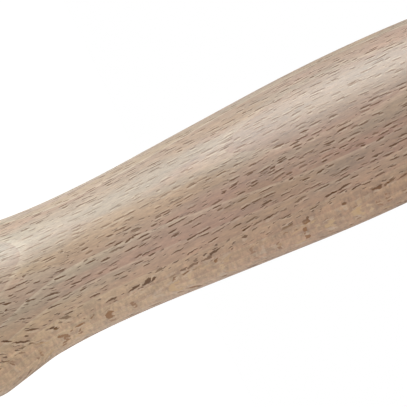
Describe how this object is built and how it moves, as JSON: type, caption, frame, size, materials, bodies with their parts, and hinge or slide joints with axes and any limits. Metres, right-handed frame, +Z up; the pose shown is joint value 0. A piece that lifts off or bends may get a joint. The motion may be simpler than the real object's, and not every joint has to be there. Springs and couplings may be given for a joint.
{
  "type": "muddler",
  "caption": "Turned wooden bar muddler with a flat crushing head, a waist, a palm swell and a domed knob, for pressing fruit and herbs in a glass.",
  "frame": {"origin": "centre of the flat crushing face, which the muddler stands on", "axes": "+Z up the turning axis, from the crushing face to the knob; X and Y are any two directions across it, since the shape is round"},
  "size_m": [0.031, 0.031, 0.2],
  "materials": {
    "beech": "sanded beech with a dull natural sheen, pinkish brown with short dark ray flecks along the grain"
  },
  "bodies": {
    "root": {"muddler_body": "beech"}
  },
  "joints": []
}
